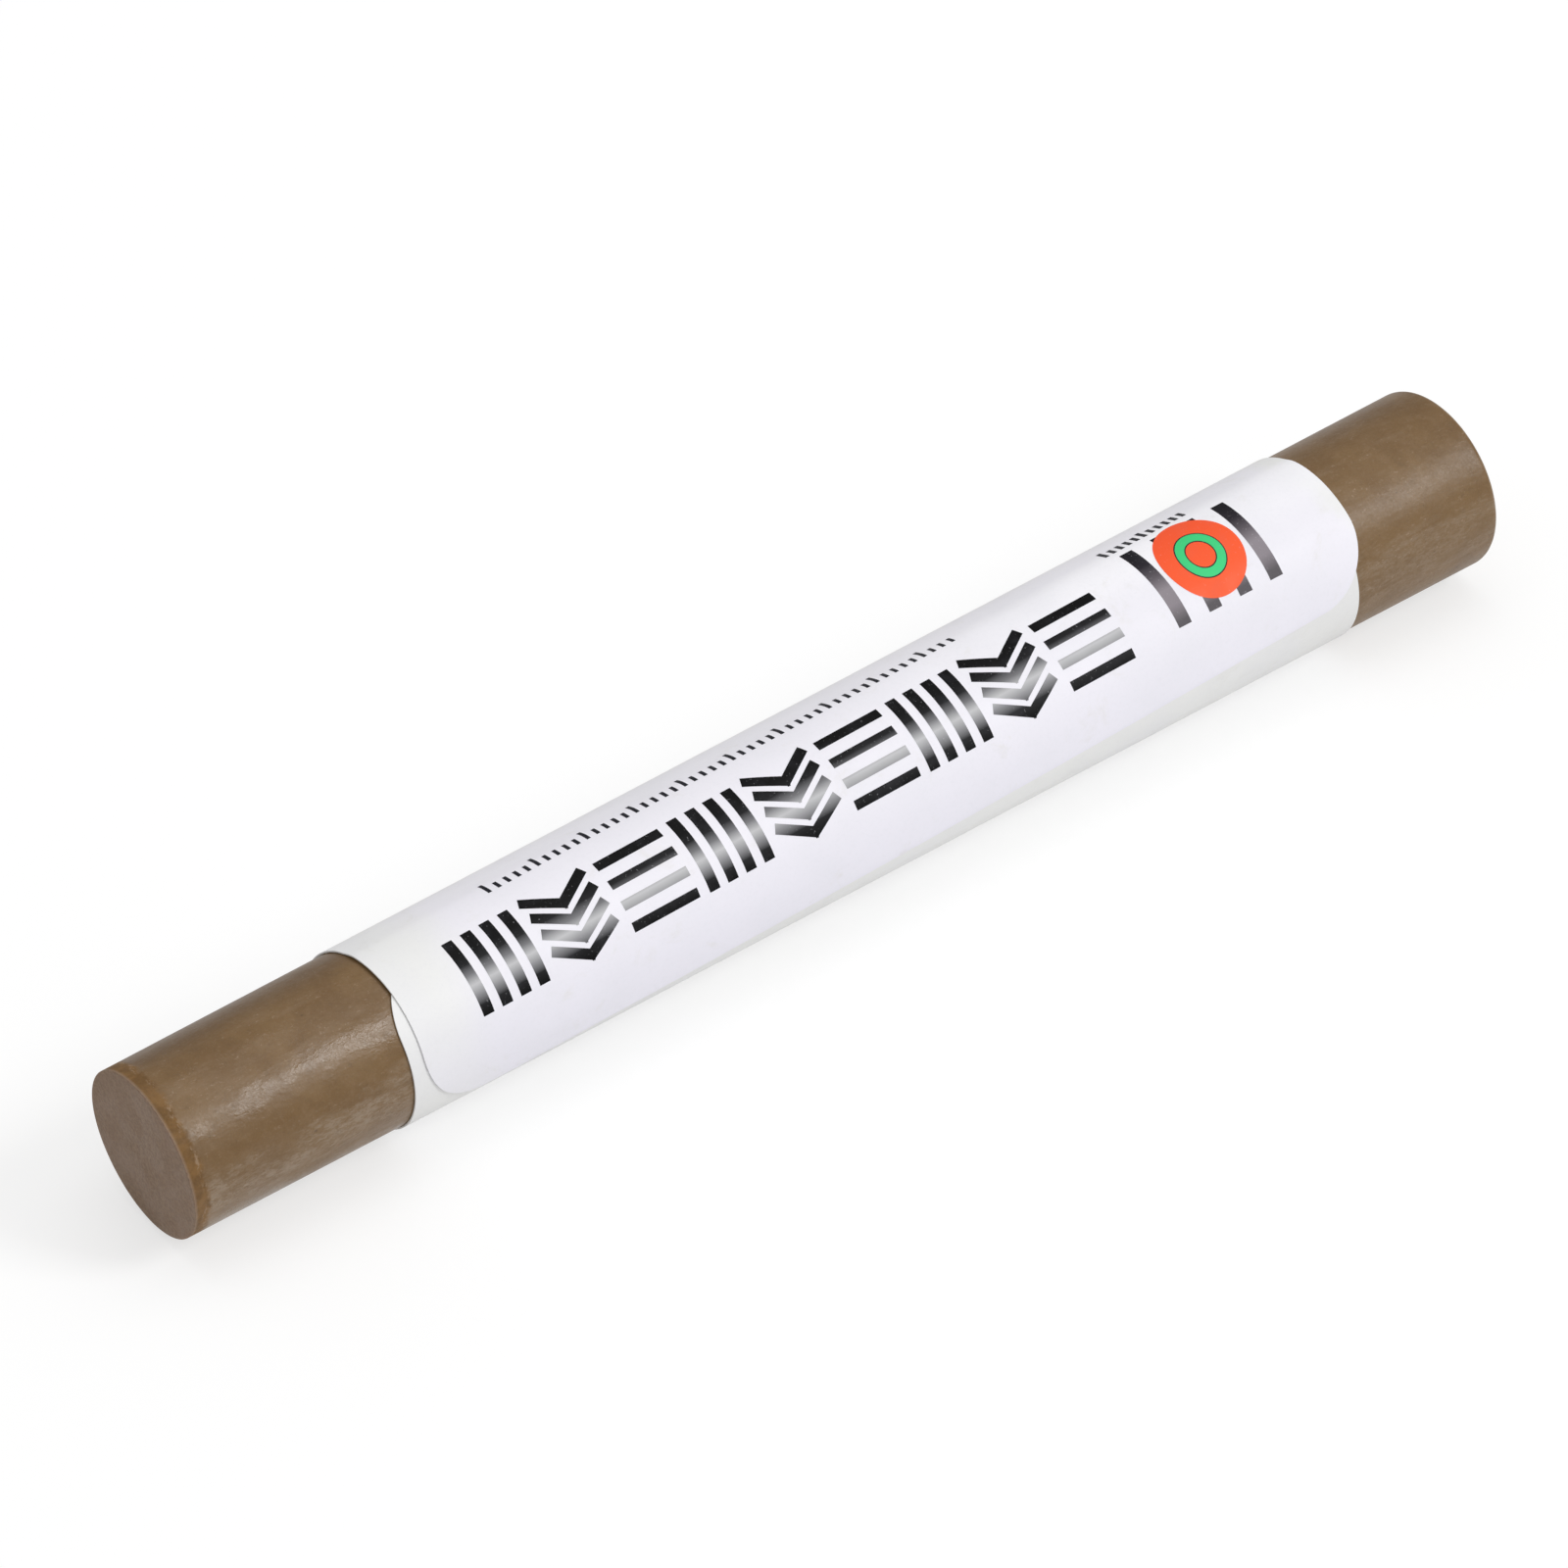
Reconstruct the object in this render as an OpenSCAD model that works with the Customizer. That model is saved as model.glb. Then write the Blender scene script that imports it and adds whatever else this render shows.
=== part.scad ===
// Furniture repair wax stick: a cast stick of brown filler wax with a self-adhesive paper label
// wrapped once round it and lapped over its own start.
// The stick lies on its side. +X runs from its narrow near end to its wide far end, +Z is up, and
// the origin is on the ground, below the middle of the stick.
// Roll angles turn about the stick's own axis, from straight up towards -Y.

/* [Wax stick] */
// Length of the cast stick along its axis, from end face to end face
stick_l = 96.3; // [70:0.1:140]
// Diameter at the near end, the narrow end of the mould
near_d = 10.5; // [8:0.05:15]
// Diameter at the far end, which the mould's draft makes wider
far_d = 11.4; // [8:0.05:15]
// Radius of the soft rim round the far end face
far_rim_r = 0.4; // [0.2:0.05:1.5]
// How far the cut at the near end leans from square
near_lean = 5; // [0:0.2:8]
// Roll angle at which the leaning near end reaches furthest out
near_lean_roll = 45; // [0:1:90]

/* [Label] */
// Bare wax between the near end face and the label's first turn
bare_near_l = 14.75; // [6:0.05:22]
// Bare wax between the label's first turn and the far end face
bare_far_l = 11.45; // [6:0.05:22]
// How far the label laps over its own start, round the stick
lap_w = 9.7; // [6:0.1:12]
// How far the label has crept towards the far end after one turn
creep_w = 0.9; // [0:0.05:1.5]
// How much further round the stick the hidden start edge lies at its near end than at its far end
start_slant_w = 1.7; // [0.8:0.1:3]
// How much further round the stick the free edge lies at its near end than at its far end
free_slant_w = 3.3; // [1:0.1:5]
// Radius of the label's corners
corner_r = 4.5; // [2:0.1:6]
// Thickness of the printed face paper
paper_t = 0.09; // [0.05:0.01:0.2]
// Thickness of the adhesive coat under the paper
glue_t = 0.02; // [0.01:0.005:0.05]
// Width of the slope on which the paper climbs over its own start edge
climb_w = 1.2; // [0.6:0.1:3]
// Roll angle of the hidden start edge, at the middle of the label
seam_roll = 0; // [0:3:90]

/* [Hidden] */

// The stick's taper, and the wall of its side
draft = atan((far_d - near_d) / 2 / stick_l);
function wax_r(x) = near_d / 2 + x * tan(draft);
stick_sides = 96;

// How far the leaning edge reaches past the middle of the near end face, and the middle of the stick's
// whole length, both along the axis from the middle of that face
near_reach = near_d / 2 * tan(near_lean) / (1 + tan(near_lean) * tan(draft));
middle_x = (stick_l - near_reach) / 2;

// Room between two neighbouring layers, and the width at which a round tip of the label ends
skin_gap = 0.004;
tip_cut = 0.05;

// The label is bent into flat facets, one for each step of roll angle, and the stick lies still on one
// of them. It goes round the wax and not through it, so only the middle of each facet touches the
// round, and towards the facet's edges its points stand off by this share of the radius.
facet_step = 9;
function stand_off_share(roll) = 1 / cos(roll - facet_step * floor(roll / facet_step) - facet_step / 2);
layer_t = glue_t + paper_t + skin_gap;

// The label laid flat: u runs round the stick from the middle of the start edge, and y runs along it
// from the label's middle
label_w = stick_l - bare_near_l - bare_far_l;
label_half = label_w / 2;
mid_r = wax_r(bare_near_l + label_half);
turn_w = 2 * PI * mid_r;
free_u = turn_w + lap_w;

// One end of the flat label, whose edge leans by slant_w across the label. v is the distance from the
// edge's middle, inwards. The edge meets the side at a wide corner, where y is large, and at a narrow
// corner, where y is small, and these give the v of each corner's centre.
function lean(slant_w) = slant_w / label_w;
function lean_len(slant_w) = sqrt(1 + lean(slant_w) * lean(slant_w));
function wide_v(slant_w) = lean(slant_w) * (label_half - corner_r) + corner_r * lean_len(slant_w);
function narrow_v(slant_w) = lean(slant_w) * (corner_r - label_half) + corner_r * lean_len(slant_w);
function arc(d) = sqrt(max(0, corner_r * corner_r - d * d));

// The highest and lowest y of the label at v, on the side of the wide and of the narrow corner
function high_y(v, slant_w) =
    v > wide_v(slant_w) ? label_half
    : v > wide_v(slant_w) - corner_r / lean_len(slant_w) ? label_half - corner_r + arc(wide_v(slant_w) - v)
    : v > narrow_v(slant_w) - corner_r / lean_len(slant_w) ? v / lean(slant_w)
    : corner_r - label_half + arc(narrow_v(slant_w) - v);
function low_y(v, slant_w) =
    v > narrow_v(slant_w) ? -label_half : corner_r - label_half - arc(narrow_v(slant_w) - v);
function tip_v(slant_w) = narrow_v(slant_w) - corner_r + tip_cut;

// The start edge is the free edge turned half round, so its wide corner is at the label's near side
function span_y(u) = [
    max(low_y(free_u - u, free_slant_w), -high_y(u, start_slant_w)),
    min(high_y(free_u - u, free_slant_w), -low_y(u, start_slant_w))
];

// The roll angles of the facets' edges: every whole step, and the label's two tips
function roll_of(u) = seam_roll + u / mid_r * 180 / PI;
function u_of(roll) = (roll - seam_roll) * PI / 180 * mid_r;
start_roll = roll_of(tip_v(start_slant_w));
free_roll = roll_of(free_u - tip_v(free_slant_w));
first_step = floor(start_roll / facet_step) + 1;
last_step = ceil(free_roll / facet_step) - 1;
rolls = [start_roll, for (i = [first_step:last_step]) i * facet_step, free_roll];

// The second turn climbs on to the first before it reaches the start edge
climb_end = (first_step - 1) * facet_step + 360;
climb_start = climb_end - climb_w / mid_r * 180 / PI;
function climb_share(roll) = min(1, max(0, (roll - climb_start) / (climb_end - climb_start)));
function lift(roll) = layer_t * climb_share(roll) * climb_share(roll) * (3 - 2 * climb_share(roll));

// Height of the stick's axis: the first turn of the label, near its far edge, rests on the ground
label_far_r = (wax_r(stick_l - bare_far_l + creep_w / 2) + layer_t) * stand_off_share(0);
axis_h = max(far_d / 2, label_far_r);

// A point at x along the stick and off_t outside the wax, at a roll angle
function skin_r(x, roll, off_t) = (wax_r(x) + skin_gap + off_t + lift(roll)) * stand_off_share(roll);
function skin_point(x, roll, off_t) = [
    x - middle_x,
    -skin_r(x, roll, off_t) * sin(roll),
    axis_h + skin_r(x, roll, off_t) * cos(roll)
];

// One layer of the label, from in_t to out_t outside the wax, swept round the stick from tip to tip
module wrapped_layer(in_t, out_t) {
    sections = [
        for (roll = rolls)
            let (
                u = u_of(roll),
                middle = bare_near_l + label_half + creep_w * u / turn_w,
                near_x = middle + span_y(u)[0],
                far_x = middle + span_y(u)[1]
            )
            [
                skin_point(near_x, roll, in_t),
                skin_point(far_x, roll, in_t),
                skin_point(far_x, roll, out_t),
                skin_point(near_x, roll, out_t)
            ]
    ];
    last = len(sections) - 1;
    polyhedron(
        points = [for (section = sections) each section],
        faces = [
            [0, 1, 2],
            [0, 2, 3],
            for (i = [0:last - 1], k = [0:3])
                let (a = 4 * i + k, b = 4 * i + (k + 1) % 4)
                each [[a, a + 4, b + 4], [a, b + 4, b]],
            [4 * last + 2, 4 * last + 1, 4 * last],
            [4 * last + 3, 4 * last + 2, 4 * last]
        ]
    );
}

// Half the stick's section: its tapered side, with an arc at the far rim that side and end touch. It
// starts before the near end, which is cut off afterwards.
module stick_section() {
    far_c = [wax_r(stick_l - far_rim_r) - far_rim_r / cos(draft), stick_l - far_rim_r];
    out = [cos(draft), -sin(draft)];
    polygon([
        [0, -near_d],
        [wax_r(-near_d), -near_d],
        far_c + far_rim_r * out,
        [far_c[0], stick_l],
        [0, stick_l]
    ]);
    translate(far_c) circle(r = far_rim_r, $fn = stick_sides);
}

// What lies beyond the leaning near end face
module cut_off() {
    rotate([0, 0, 180 + near_lean_roll])
        rotate([0, near_lean, 0])
            translate([-near_d, -near_d, -2 * near_d])
                cube(2 * near_d);
}

// The filler wax, cast solid in a tapered mould and cut off at the near end
module wax_stick() {
    color("#80654a")
        translate([-middle_x, 0, axis_h])
            rotate([0, 90, 0])
                difference() {
                    rotate_extrude($fn = stick_sides) stick_section();
                    cut_off();
                }
}

// The coat that holds the label on the wax and on its own first turn
module label_adhesive() {
    color("#d9d3bc") wrapped_layer(0, glue_t);
}

// The white face paper that carries the print
module label_paper() {
    color("#efeef3") wrapped_layer(glue_t, glue_t + paper_t);
}

wax_stick();
label_adhesive();
label_paper();
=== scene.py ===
# %% [markdown]
# # A furniture repair wax stick
# The real object is a short, round stick of brown filler wax. It is cast in a slightly tapered mould,
# and a white self-adhesive paper label is wound once round it and lapped over its own start. Every
# piece here is made in the frame of the CAD model: metres, +X from the narrow near end to the wide far
# end, +Z up, and the ground at zero. Loading the frame first gives that model and its box, so each piece
# can be put where the CAD says.

# %% Load the CAD frame
import math

import bmesh
import bpy
from mathutils import Matrix, Vector


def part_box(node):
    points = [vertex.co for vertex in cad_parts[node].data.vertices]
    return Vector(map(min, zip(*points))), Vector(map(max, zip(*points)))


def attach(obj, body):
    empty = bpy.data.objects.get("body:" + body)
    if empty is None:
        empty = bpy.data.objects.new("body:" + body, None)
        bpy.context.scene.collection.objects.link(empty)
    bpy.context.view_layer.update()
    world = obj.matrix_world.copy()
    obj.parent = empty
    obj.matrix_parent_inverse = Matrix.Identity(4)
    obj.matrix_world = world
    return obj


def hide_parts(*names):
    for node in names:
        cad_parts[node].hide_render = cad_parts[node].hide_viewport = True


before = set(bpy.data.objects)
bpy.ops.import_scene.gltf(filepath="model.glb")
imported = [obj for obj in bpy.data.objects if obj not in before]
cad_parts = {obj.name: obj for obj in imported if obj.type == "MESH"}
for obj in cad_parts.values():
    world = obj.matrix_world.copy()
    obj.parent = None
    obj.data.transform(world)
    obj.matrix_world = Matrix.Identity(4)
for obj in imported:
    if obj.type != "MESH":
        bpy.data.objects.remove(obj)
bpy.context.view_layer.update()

# %% [markdown]
# ## Sizes
# A wax stick is sized by its mould, and the label by how it was cut and wound. They are written once
# here, in millimetres turned to metres, and everything below is worked out from them. The height of the
# stick's axis isn't written again: it is measured on the CAD stick itself.

# %% Sizes of the stick and of its label
MM = 0.001
stick_length = 96.3 * MM
near_radius = 5.25 * MM
far_radius = 5.7 * MM
taper = (far_radius - near_radius) / stick_length
near_lean = math.radians(5)
near_lean_roll = math.radians(45)
near_reach = near_radius * math.tan(near_lean) / (1 + taper * math.tan(near_lean))
near_face_x = -(stick_length - near_reach) / 2
wax_low, wax_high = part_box("wax_stick")
axis_height = (wax_low[2] + wax_high[2]) / 2

bare_near = 14.75 * MM
bare_far = 11.45 * MM
label_width = stick_length - bare_near - bare_far
label_half = label_width / 2
label_lap = 9.7 * MM
label_creep = 0.9 * MM
start_slant = 1.7 * MM
free_slant = 3.3 * MM
corner_radius = 4.5 * MM
paper_thickness = 0.09 * MM
glue_thickness = 0.02 * MM
skin_gap = 0.004 * MM
climb_width = 1.2 * MM


def wax_radius(x):
    return near_radius + x * taper


middle_radius = wax_radius(bare_near + label_half)
turn = 2 * math.pi * middle_radius
free_u = turn + label_lap
layer = paper_thickness + glue_thickness + skin_gap
paper_bottom = skin_gap + glue_thickness
paper_top = paper_bottom + paper_thickness
print("axis height %.3f mm, near face at %.2f mm" % (axis_height / MM, near_face_x / MM))
print("one turn %.2f mm" % (turn / MM))

# %% [markdown]
# ## Camera
# The photograph looks down on the stick from beyond its near end and well to one side, through a long
# lens. A camera that is placed by a direction, a distance and a small offset of the picture keeps that
# view without any tilt or lens shift. The three axes of the view are worked out first, and then written
# as the camera's own axes.

# %% Camera at the photograph's angle
image_px = 1600
focal_px = 10900
sensor_width = 36
azimuth = math.radians(-39.08)
elevation = math.radians(40.09)
camera_distance = 617.8 * MM
offset_px = (32.22, 18.59)
aim = Vector((0.38 * MM, 0, axis_height))

towards = Vector((
    math.sin(azimuth) * math.cos(elevation),
    -math.cos(azimuth) * math.cos(elevation),
    math.sin(elevation),
))
rightwards = Vector((math.cos(azimuth), math.sin(azimuth), 0))
upwards = towards.cross(rightwards)
px_size = camera_distance / focal_px
place = (
    aim
    + towards * camera_distance
    - rightwards * offset_px[0] * px_size
    + upwards * offset_px[1] * px_size
)
camera = bpy.data.objects.new("camera", bpy.data.cameras.new("camera"))
camera.data.sensor_width = sensor_width
camera.data.lens = focal_px / image_px * sensor_width
camera.data.clip_start = 10 * MM
turned = Matrix((rightwards, upwards, towards)).transposed().to_4x4()
camera.matrix_world = Matrix.Translation(place) @ turned
bpy.context.scene.collection.objects.link(camera)
bpy.context.scene.camera = camera
print("camera lens %.1f mm" % camera.data.lens)

# %% [markdown]
# ## Building node trees
# Materials and Geometry Nodes are both trees of nodes. Building them by hand takes many lines, so these
# helpers add one node at a time: a socket is given by its name or number, and takes either a plain value
# or the output of another node.


# %% Helpers for node trees
def add_node(tree, kind, sockets=None, **settings):
    made = tree.nodes.new(kind)
    for name, value in settings.items():
        setattr(made, name, value)
    for name, value in (sockets or {}).items():
        if isinstance(value, bpy.types.NodeSocket):
            tree.links.new(value, made.inputs[name])
        else:
            made.inputs[name].default_value = value
    return made


def add_math(tree, operation, *values):
    kind = "ShaderNodeMath"
    return add_node(tree, kind, dict(enumerate(values)), operation=operation).outputs[0]


def add_range(tree, value, low, high, to_low=0.0, to_high=1.0):
    sockets = {"Value": value, "From Min": low, "From Max": high, "To Min": to_low, "To Max": to_high}
    made = add_node(tree, "ShaderNodeMapRange", sockets, interpolation_type="SMOOTHSTEP")
    return made.outputs["Result"]


def sum_of(tree, first, *others):
    for other in others:
        first = add_math(tree, "ADD", first, other)
    return first


def product_of(tree, first, *others):
    for other in others:
        first = add_math(tree, "MULTIPLY", first, other)
    return first


def vector_of(tree, x=0.0, y=0.0, z=0.0):
    return add_node(tree, "ShaderNodeCombineXYZ", {0: x, 1: y, 2: z}).outputs[0]


def parts_of(tree, vector):
    return add_node(tree, "ShaderNodeSeparateXYZ", {0: vector}).outputs


def in_millimetres(tree, place):
    to_mm = (1 / MM,) * 3
    return add_node(tree, "ShaderNodeVectorMath", {0: place, 1: to_mm}, operation="MULTIPLY").outputs[0]


# %% [markdown]
# ## Geometry Nodes trees and plain meshes
# Each tree gets named inputs for its sizes, so that a change needs no new tree, and ends in real faces
# that carry their finish. A finished piece must be a plain mesh at the origin, so the modifier's result
# is copied to a mesh and the modifier is taken off.


# %% Helpers for Geometry Nodes
def geometry_tree(name, sizes, finish=False):
    tree = bpy.data.node_groups.new(name, "GeometryNodeTree")
    tree.is_modifier = True
    new_socket = tree.interface.new_socket
    new_socket("Geometry", in_out="INPUT", socket_type="NodeSocketGeometry")
    new_socket("Geometry", in_out="OUTPUT", socket_type="NodeSocketGeometry")
    for label, value in sizes.items():
        new_socket(label, in_out="INPUT", socket_type="NodeSocketFloat").default_value = value
    if finish:
        new_socket("Finish", in_out="INPUT", socket_type="NodeSocketMaterial")
    return tree, tree.nodes.new("NodeGroupInput").outputs, tree.nodes.new("NodeGroupOutput").inputs


def add_tree(obj, tree, **inputs):
    modifier = obj.modifiers.new(tree.name, "NODES")
    modifier.node_group = tree
    for item in tree.interface.items_tree:
        key = item.name.replace(" ", "_").lower()
        if item.in_out == "INPUT" and key in inputs:
            modifier[item.identifier] = inputs[key]


def end_tree(tree, shaped, given, made):
    joined = add_node(tree, "GeometryNodeRealizeInstances", {"Geometry": shaped})
    dressed = {"Geometry": joined.outputs[0], "Material": given["Finish"]}
    finish = add_node(tree, "GeometryNodeSetMaterial", dressed)
    tree.links.new(finish.outputs[0], made["Geometry"])


def make_plain(obj):
    depsgraph = bpy.context.evaluated_depsgraph_get()
    plain = bpy.data.meshes.new_from_object(obj.evaluated_get(depsgraph))
    obj.modifiers.clear()
    obj.data = plain
    plain.name = obj.name
    print("%s: %d faces" % (obj.name, len(plain.polygons)))
    return obj


def new_object(name, mesh):
    obj = bpy.data.objects.new(name, mesh)
    bpy.context.scene.collection.objects.link(obj)
    return obj


# %% [markdown]
# ## Helpers for finishes
# The wax and the adhesive read the object's own coordinates, turned to millimetres, so that a pattern's
# scale can be read as features per millimetre. The paper and the ink read their place on the flat sheet
# instead. Noise that is stretched along X makes streaks that run along the stick. Most finishes are built
# up in layers: one more colour is laid over the last wherever a pattern rises from low to high.


# %% Helpers for materials
def srgb(code):
    parts = [int(code[i : i + 2], 16) / 255 for i in (1, 3, 5)]
    linear = [part / 12.92 if part <= 0.04045 else ((part + 0.055) / 1.055) ** 2.4 for part in parts]
    return (*linear, 1.0)


def new_finish(name):
    material = bpy.data.materials.new(name)
    material.use_nodes = True
    tree = material.node_tree
    shader = tree.nodes["Principled BSDF"]
    return material, tree, shader


def place_mm(tree, stretch=(1, 1, 1), move=(0, 0, 0)):
    source = add_node(tree, "ShaderNodeTexCoord").outputs["Object"]
    scale = [value / MM for value in stretch]
    sockets = {"Vector": source, "Scale": scale, "Location": move}
    return add_node(tree, "ShaderNodeMapping", sockets).outputs[0]


def sheet_place(tree):
    sheet = add_node(tree, "ShaderNodeAttribute", attribute_name="flat_place").outputs["Vector"]
    sheet_x, sheet_u = parts_of(tree, sheet)[:2]
    return sheet, sheet_x, sheet_u


def noise(tree, where, scale, detail=3.0, rough=0.55, distort=0.0):
    sockets = {"Vector": where, "Scale": scale, "Detail": detail}
    sockets.update({"Roughness": rough, "Distortion": distort})
    return add_node(tree, "ShaderNodeTexNoise", sockets).outputs[0]


def blend_colour(tree, share, first, second, mode="MIX"):
    made = add_node(tree, "ShaderNodeMix", data_type="RGBA", blend_type=mode)
    for index, value in ((0, share), (6, first), (7, second)):
        if isinstance(value, bpy.types.NodeSocket):
            tree.links.new(value, made.inputs[index])
        else:
            made.inputs[index].default_value = value
    return made.outputs[2]


def lay_over(tree, under, pattern, low, high, share, code):
    return blend_colour(tree, add_range(tree, pattern, low, high, 0.0, share), under, srgb(code))


def add_bump(tree, height, distance, strength=1.0, under=None):
    sockets = {"Height": height, "Distance": distance, "Strength": strength}
    if under is not None:
        sockets["Normal"] = under
    return add_node(tree, "ShaderNodeBump", sockets).outputs[0]


# %% [markdown]
# ## The wax's finish
# Cast filler wax is never one brown. Pigment and chalk settle in soft clouds with a finer mottle in them,
# and a thin pale bloom comes out in streaks along the mould's length. A layer of noise makes each of
# these, and the same noises return in the next cells, so that dust and shine keep to the same streaks.

# %% Colour of the cast wax
wax_finish, tree, shader = new_finish("cast_brown_wax")
where = place_mm(tree)
along_x, across_y, height_z = parts_of(tree, where)
from_axis = add_math(tree, "SUBTRACT", height_z, axis_height / MM)
clouds = noise(tree, where, 0.22, 5.0, 0.6, 0.4)
mottle = noise(tree, where, 1.1, 4.0, 0.65)
grain = noise(tree, where, 7.0, 3.0, 0.65)
streaks = noise(tree, place_mm(tree, (0.28, 1, 1)), 0.8, 5.0, 0.7, 0.3)
specks = noise(tree, place_mm(tree, (0.6, 1, 1)), 4.5, 3.0, 0.75)
spots = noise(tree, place_mm(tree, (0.7, 1, 1), (0, 9, 0)), 1.9, 3.0, 0.75)

colour = lay_over(tree, srgb("#6e522e"), clouds, 0.35, 0.65, 1.0, "#785c37")
colour = lay_over(tree, colour, mottle, 0.45, 0.75, 0.3, "#866c4f")
colour = lay_over(tree, colour, mottle, 0.42, 0.25, 0.45, "#604829")
colour = lay_over(tree, colour, streaks, 0.48, 0.72, 0.35, "#8a745b")
print("cast wax: %d nodes" % len(tree.nodes))

# %% [markdown]
# A painted reflection of the bright floor lies along one side of the stick, where it reaches furthest
# out: a pale, streaky band of colour. It is stronger at the near end and sits a little higher at the far
# end. Dust clings to the bloom as specks, and grains of pigment show as dark spots. The upper back gets
# painted shade, a darker colour, and is also duller than the rest. How far out a point reaches on a side
# is worked out from its coordinates, with the taper taken off. A small helper gives a share that changes
# from the near half of the stick to the far half.


# %% Painted reflection, dust, dark spots and painted shade
def near_to_far(near_share, far_share):
    return add_range(tree, along_x, -25.0, 25.0, near_share, far_share)


streaky_grain = noise(tree, place_mm(tree, (0.42, 1, 1), (4, 7, 1)), 4.2, 4.0, 0.75, 0.3)
reach_out = add_math(tree, "MULTIPLY_ADD", along_x, -taper, product_of(tree, across_y, -1.0))
reach_out = add_math(tree, "MULTIPLY_ADD", from_axis, near_to_far(0.0, 0.13), reach_out)
# Painted reflection of the bright floor: a pale, streaky band along the side that reaches furthest out.
painted_reflection = product_of(
    tree,
    add_range(tree, add_math(tree, "MULTIPLY_ADD", streaks, 1.6, reach_out), 5.9, 6.5),
    add_range(tree, streaky_grain, 0.41, 0.6, 0.2, 1.0),
    near_to_far(1.0, 0.55),
)
colour = blend_colour(tree, painted_reflection, colour, srgb("#8e7b65"))
dust = product_of(
    tree, add_range(tree, specks, 0.58, 0.72), add_range(tree, streaks, 0.4, 0.65, 0.1, 0.5)
)
colour = blend_colour(tree, dust, colour, srgb("#a8937d"))
colour = lay_over(tree, colour, grain, 0.55, 0.78, 0.4, "#57422a")
colour = lay_over(tree, colour, grain, 0.45, 0.25, 0.35, "#8b755c")
colour = lay_over(tree, colour, spots, 0.68, 0.76, 0.6, "#4a3722")
# Painted shade: the upper back is darkened, strongly at the near end and weakly at the far end.
upper_back = product_of(tree, add_math(tree, "ADD", across_y, from_axis), math.sqrt(0.5))
colour = lay_over(tree, colour, upper_back, 3.8, 5.0, near_to_far(0.5, 0.15), "#503610")
print("with haze, dust and spots: %d nodes" % len(tree.nodes))

# %% [markdown]
# The near end was cut. Behind the cut runs a ragged amber band, where the knife smeared the wax, with
# pale nicks in it, and the face itself is matt, grainy and a little mauve. How far each point is from the
# nearer end is noted on the mesh as an attribute, in millimetres, so that the band follows even a leaning
# cut. The band's width wanders, because a noise is added to that distance before it becomes a share.

# %% Amber band, nicks, cut face and painted edge highlight
from_end = add_node(tree, "ShaderNodeAttribute", attribute_name="from_end").outputs["Fac"]
ragged = add_math(tree, "MULTIPLY_ADD", noise(tree, where, 0.8, 5.0, 0.7), 1.3, -0.65)
rim_way = add_math(tree, "ADD", from_end, ragged)
at_near_end = add_range(tree, along_x, 1.0, -1.0)
rim_share = product_of(
    tree, add_range(tree, from_end, 0.02, 0.1), add_range(tree, rim_way, 1.25, 0.8, 0.0, at_near_end)
)
amber = lay_over(tree, srgb("#65471f"), mottle, 0.35, 0.65, 1.0, "#7d5b2f")
colour = blend_colour(tree, product_of(tree, rim_share, 0.92), colour, amber)
nicks = noise(tree, place_mm(tree, (1.3, 0.8, 0.8)), 1.9, 4.0, 0.7)
nick_share = product_of(
    tree, rim_share, add_range(tree, rim_way, 0.5, 0.8), add_range(tree, nicks, 0.5, 0.62, 0.0, 0.85)
)
colour = blend_colour(tree, nick_share, colour, srgb("#92795e"))

face_share = add_range(tree, from_end, 0.12, 0.04)
face_grain = noise(tree, where, 4.5, 5.0, 0.75)
face_colour = lay_over(tree, srgb("#79624f"), face_grain, 0.35, 0.65, 1.0, "#8b745f")
face_colour = lay_over(tree, face_colour, clouds, 0.45, 0.7, 0.25, "#8d7464")
colour = blend_colour(tree, face_share, colour, face_colour)
# Painted highlight: a thin pale line along the edge of the cut face.
painted_edge_highlight = product_of(
    tree, add_range(tree, from_end, 0.02, 0.08), add_range(tree, from_end, 0.24, 0.12, 0.0, 0.35)
)
colour = blend_colour(tree, painted_edge_highlight, colour, srgb("#93806e"))
tree.links.new(colour, shader.inputs["Base Color"])
print("with the cut end: %d nodes" % len(tree.nodes))

# %% [markdown]
# Handled wax shines in patches: smooth where fingers polished it, dull in between, and matt on the cut
# face. The same patches carry fine wrinkles that break the shine into glints, above long shallow swells.
# Wax also lets a little light in, so it gets a weak, short subsurface glow.

# %% Shine and small relief of the wax
polish = noise(tree, place_mm(tree, (0.4, 1, 1), (7, 2, 5)), 0.42, 4.0, 0.65)
gloss = product_of(
    tree,
    add_range(tree, polish, 0.37, 0.6, 0.1, 1.0),
    add_range(tree, along_x, 10.0, -20.0, 0.3, 0.82),
    add_range(tree, upper_back, 3.0, 4.8, 1.0, 0.05),
)
side_rough = sum_of(
    tree, add_range(tree, gloss, 0.0, 1.0, 0.41, 0.25), add_range(tree, grain, 0.3, 0.7, 0.0, 0.07)
)
cut_share = add_math(tree, "MAXIMUM", face_share, rim_share)
rough = add_math(tree, "MULTIPLY_ADD", cut_share, 0.35, side_rough)
tree.links.new(rough, shader.inputs["Roughness"])
shader.inputs["Subsurface Weight"].default_value = 0.1
shader.inputs["Subsurface Radius"].default_value = (1.0, 0.55, 0.3)
shader.inputs["Subsurface Scale"].default_value = 0.6 * MM
shader.inputs["IOR"].default_value = 1.47

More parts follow.
